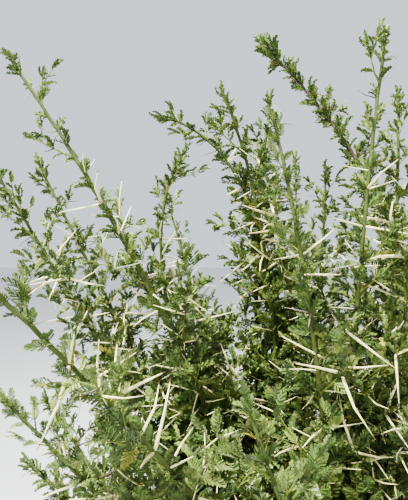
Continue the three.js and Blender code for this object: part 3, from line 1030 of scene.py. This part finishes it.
class ACACIA_OT_boughs(bpy.types.Operator):
    """Make the bare boughs, rough on the main limbs and smooth and green on the young ones"""

    bl_idname = "acacia.boughs"
    bl_label = "Boughs"

    def execute(self, context):
        colours = context.scene.acacia_colours
        limbs = crown().limbs
        young = [name for name in LIMBS if name not in MAIN_LIMBS]
        for label, slot, names, sides, depth in (
            ("main_boughs", "bark", MAIN_LIMBS, 22, 0.0011),
            ("young_boughs", "green_bark", young, 16, 0.0006),
        ):
            skins = [bough_skin(limbs[name], 5.1 * i, sides, depth) for i, name in enumerate(names)]
            ages = []
            for name, (verts, _) in zip(names, skins):
                rings = len(verts) // sides
                for i in range(len(verts)):
                    share = limbs[name].bare * (i // sides) / (rings - 1)
                    ages.append(age_of_wood(limbs[name].radius_at(share), limbs[name].is_old))
            verts, faces = join_shapes(skins)
            piece = mesh_object(label, verts, faces)
            write_values(piece.data, "age", "FLOAT", ages)
            smooth_shading(piece.data)
            piece.data.materials.append(bark_material(label + "_bark", colours, colours.shoot))
            finish_piece(piece, slot, [name + "_bough" for name in names])
        return {"FINISHED"}


class ACACIA_OT_shoots(bpy.types.Operator):
    """Make the leafy shoots' stems and twigs"""

    bl_idname = "acacia.shoots"
    bl_label = "Shoots and twigs"

    def execute(self, context):
        colours = context.scene.acacia_colours
        for label, rows, sides, young in (
            ("shoot_stems", crown().stems, 8, colours.shoot),
            ("side_twigs", crown().twigs, 4, colours.twig),
        ):
            source = lines_object(label + "_lines", rows, age_of_wood)
            material = bark_material(label + "_bark", colours, young)
            piece = grown_by(shoots_tree(), label, source, {"Sides": sides, "Finish": material})
            finish_piece(piece, "foliage", SHOOTS)
        return {"FINISHED"}


class ACACIA_OT_leaves(bpy.types.Operator):
    """Set the feathery leaves on every node, each tone a piece of its own"""

    bl_idname = "acacia.leaves"
    bl_label = "Leaves"

    def execute(self, context):
        colours = context.scene.acacia_colours
        patterns = pattern_collection("leaf", [feather(*row) for row in FEATHERS])
        for tone, rows in crown().leaves.items():
            material = leaf_material(f"{tone}_leaf", getattr(colours, "leaf_" + tone))
            piece = scatter(f"{tone}_leaves", rows, patterns, material)
            finish_piece(piece, "foliage", SHOOTS)
        return {"FINISHED"}


class ACACIA_OT_thorns(bpy.types.Operator):
    """Set pairs of thorns on the nodes, with brown points as a piece of their own"""

    bl_idname = "acacia.thorns"
    bl_label = "Thorns"

    def execute(self, context):
        colours = context.scene.acacia_colours
        shafts = pattern_collection("thorn_shaft", [thorn_shaft(bow) for bow in BOWS])
        points = pattern_collection("thorn_point", [thorn_point(bow) for bow in BOWS])
        every = []
        for tone, rows in crown().thorns.items():
            material = thorn_material(f"{tone}_thorn", getattr(colours, "thorn_" + tone))
            piece = scatter(f"{tone}_thorns", rows, shafts, material)
            smooth_shading(piece.data)
            finish_piece(piece, "foliage", SHOOTS)
            every.extend(rows)
        piece = scatter("thorn_points", every, points, thorn_material("thorn_point_brown", colours.thorn_tip))
        finish_piece(piece, "foliage", SHOOTS)
        return {"FINISHED"}


class ACACIA_OT_stage(bpy.types.Operator):
    """Make the floor, the soft light and the camera"""

    bl_idname = "acacia.stage"
    bl_label = "Stage"

    def execute(self, context):
        settings = context.scene.acacia_stage
        half = settings.floor_size / 2
        corners = [(-half, -half, 0), (half, -half, 0), (half, half, 0), (-half, half, 0)]
        floor = mesh_object("floor", corners, [(0, 1, 2, 3)])
        floor.data.materials.append(plain_material("floor_paint", settings.floor, 0.95))
        world = bpy.data.worlds.new("studio")
        world.use_nodes = True
        world.node_tree.nodes["Background"].inputs["Color"].default_value = (*settings.backdrop, 1)
        world.node_tree.nodes["Background"].inputs["Strength"].default_value = BACKDROP_STRENGTH
        context.scene.world = world
        context.scene.view_settings.look = "AgX - Medium High Contrast"
        middle = Vector((0, 0, FRAME_BOX[1].z * AIM_HEIGHT))
        for name, (place, size, watts) in LAMPS.items():
            self.add_lamp(name, place, middle, size, watts)
        self.add_camera(context, settings)
        return {"FINISHED"}

    def add_lamp(self, name, place, aim, size, watts):
        lamp = bpy.data.lights.new(name, "AREA")
        lamp.shape = "DISK"
        lamp.size = size
        lamp.energy = watts
        made = new_object(name, lamp)
        made.location = place
        made.rotation_euler = (aim - Vector(place)).to_track_quat("-Z", "Y").to_euler()

    def add_camera(self, context, settings):
        """A phone's wide lens at eye height, looking along +Y and just below level."""
        camera = bpy.data.cameras.new("camera")
        camera.sensor_width = SENSOR_WIDTH
        camera.lens = LENS
        made = new_object("camera", camera)
        made.location = (*CAMERA_PLACE, settings.eye_height)
        made.rotation_euler = (math.radians(90 - CAMERA_DIP), 0, 0)
        context.scene.camera = made


class ACACIA_PT_sidebar(bpy.types.Panel):
    """Sizes, colours and steps in the 3D view's sidebar"""

    bl_idname = "ACACIA_PT_sidebar"
    bl_label = "Acacia"
    bl_space_type = "VIEW_3D"
    bl_region_type = "UI"
    bl_category = "Acacia"

    def draw(self, context):
        scene = context.scene
        for group in (scene.acacia_growth, scene.acacia_colours, scene.acacia_stage):
            box = self.layout.box()
            for name in group.__annotations__:
                box.prop(group, name)
        for step in STEPS:
            self.layout.operator(step.bl_idname)


STEPS = (
    ACACIA_OT_trunk,
    ACACIA_OT_boughs,
    ACACIA_OT_shoots,
    ACACIA_OT_leaves,
    ACACIA_OT_thorns,
    ACACIA_OT_stage,
)
CLASSES = (AcaciaGrowth, AcaciaColours, AcaciaStage, *STEPS, ACACIA_PT_sidebar)


def register():
    for item in CLASSES:
        bpy.utils.register_class(item)
    bpy.types.Scene.acacia_growth = PointerProperty(type=AcaciaGrowth)
    bpy.types.Scene.acacia_colours = PointerProperty(type=AcaciaColours)
    bpy.types.Scene.acacia_stage = PointerProperty(type=AcaciaStage)


def unregister():
    del bpy.types.Scene.acacia_stage
    del bpy.types.Scene.acacia_colours
    del bpy.types.Scene.acacia_growth
    for item in reversed(CLASSES):
        bpy.utils.unregister_class(item)


def main():
    """Registers the add-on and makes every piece."""
    register()
    bpy.ops.acacia.trunk()
    bpy.ops.acacia.boughs()
    bpy.ops.acacia.shoots()
    bpy.ops.acacia.leaves()
    bpy.ops.acacia.thorns()
    bpy.ops.acacia.stage()


if __name__ == "__main__":
    main()
